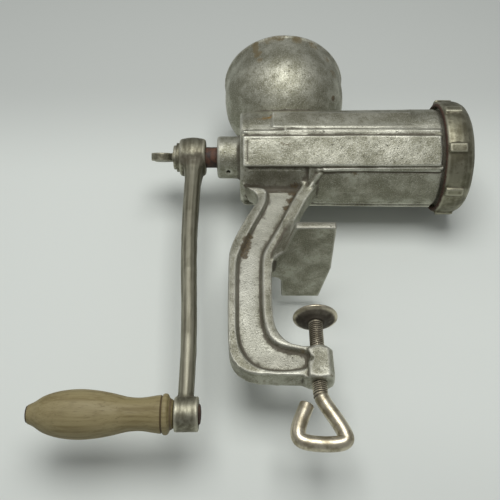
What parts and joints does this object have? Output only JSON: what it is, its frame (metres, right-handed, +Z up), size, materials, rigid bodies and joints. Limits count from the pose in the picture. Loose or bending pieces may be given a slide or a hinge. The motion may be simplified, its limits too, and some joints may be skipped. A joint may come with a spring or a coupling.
{
  "type": "hand crank meat grinder",
  "caption": "Clamp-on cast meat grinder with a bowl hopper, ribbed barrel, C-shaped leg with a bent-wire clamp screw, ring nut, and a crank with a turned wooden grip.",
  "frame": {"origin": "on the underside of the table jaw, where the clamp screw's axis meets it", "axes": "+X along the barrel towards the mouth, +Z up, away from the table; the crank hangs straight down at rest"},
  "size_m": [0.2598, 0.0878, 0.2897],
  "materials": {
    "tinned_iron": "hot-tinned, worn",
    "crank_iron": "tinned, tarnished",
    "rusty_iron": "rusty",
    "zinc_steel": "zinc plated, yellowed",
    "bright_steel": "ground",
    "fibre": "pressed fibre",
    "grip_wood": "bare turned wood"
  },
  "bodies": {
    "casting": {"grinder_body": "tinned_iron", "plate_key": "bright_steel", "thrust_washer": "fibre"},
    "crank": {"worm": "rusty_iron", "knife_stud": "bright_steel", "knife": "bright_steel", "crank_arm": "crank_iron", "handle_pin": "rusty_iron", "grip_washer": "rusty_iron"},
    "grip": {"handle_grip": "grip_wood"},
    "screw_washer": {"crank_washer": "crank_iron"},
    "wing_screw": {"crank_screw": "crank_iron"},
    "plate": {"hole_plate": "bright_steel"},
    "ring": {"ring_nut": "tinned_iron"},
    "pad": {"clamp_pad": "zinc_steel"},
    "screw": {"clamp_screw": "zinc_steel"}
  },
  "joints": [
    {"name": "crank_turn", "type": "hinge", "parent": "casting", "child": "crank", "pos_m": [0, 0, 0.0925], "axis": [1, 0, 0], "continuous": true},
    {"name": "grip_spin", "type": "hinge", "parent": "crank", "child": "grip", "pos_m": [-0.11, 0, -0.0975], "axis": [1, 0, 0], "continuous": true},
    {"name": "washer_travel", "type": "slide", "parent": "crank", "child": "screw_washer", "axis": [-1, 0, 0], "range_m": [0, 0.0101]},
    {"name": "wing_turn", "type": "hinge", "parent": "screw_washer", "child": "wing_screw", "pos_m": [-0.09, 0, 0.0925], "axis": [-1, 0, 0], "range_deg": [0, 3600]},
    {"name": "plate_travel", "type": "slide", "parent": "casting", "child": "plate", "axis": [1, 0, 0], "range_m": [0, 0.0083]},
    {"name": "ring_turn", "type": "hinge", "parent": "plate", "child": "ring", "pos_m": [0.098, 0, 0.0925], "axis": [1, 0, 0], "range_deg": [0, 990]},
    {"name": "pad_travel", "type": "slide", "parent": "casting", "child": "pad", "axis": [0, 0, 1], "range_m": [-0.01805, 0.00605]},
    {"name": "screw_turn", "type": "hinge", "parent": "pad", "child": "screw", "pos_m": [0, 0, -0.0635], "axis": [0, 0, 1], "range_deg": [-5184, 1728]}
  ],
  "couplings": [
    {"joint": "washer_travel", "follows": "wing_turn", "m_per_rad": 0.00015915},
    {"joint": "plate_travel", "follows": "ring_turn", "m_per_rad": 0.00047746},
    {"joint": "pad_travel", "follows": "screw_turn", "m_per_rad": 0.00019894}
  ]
}
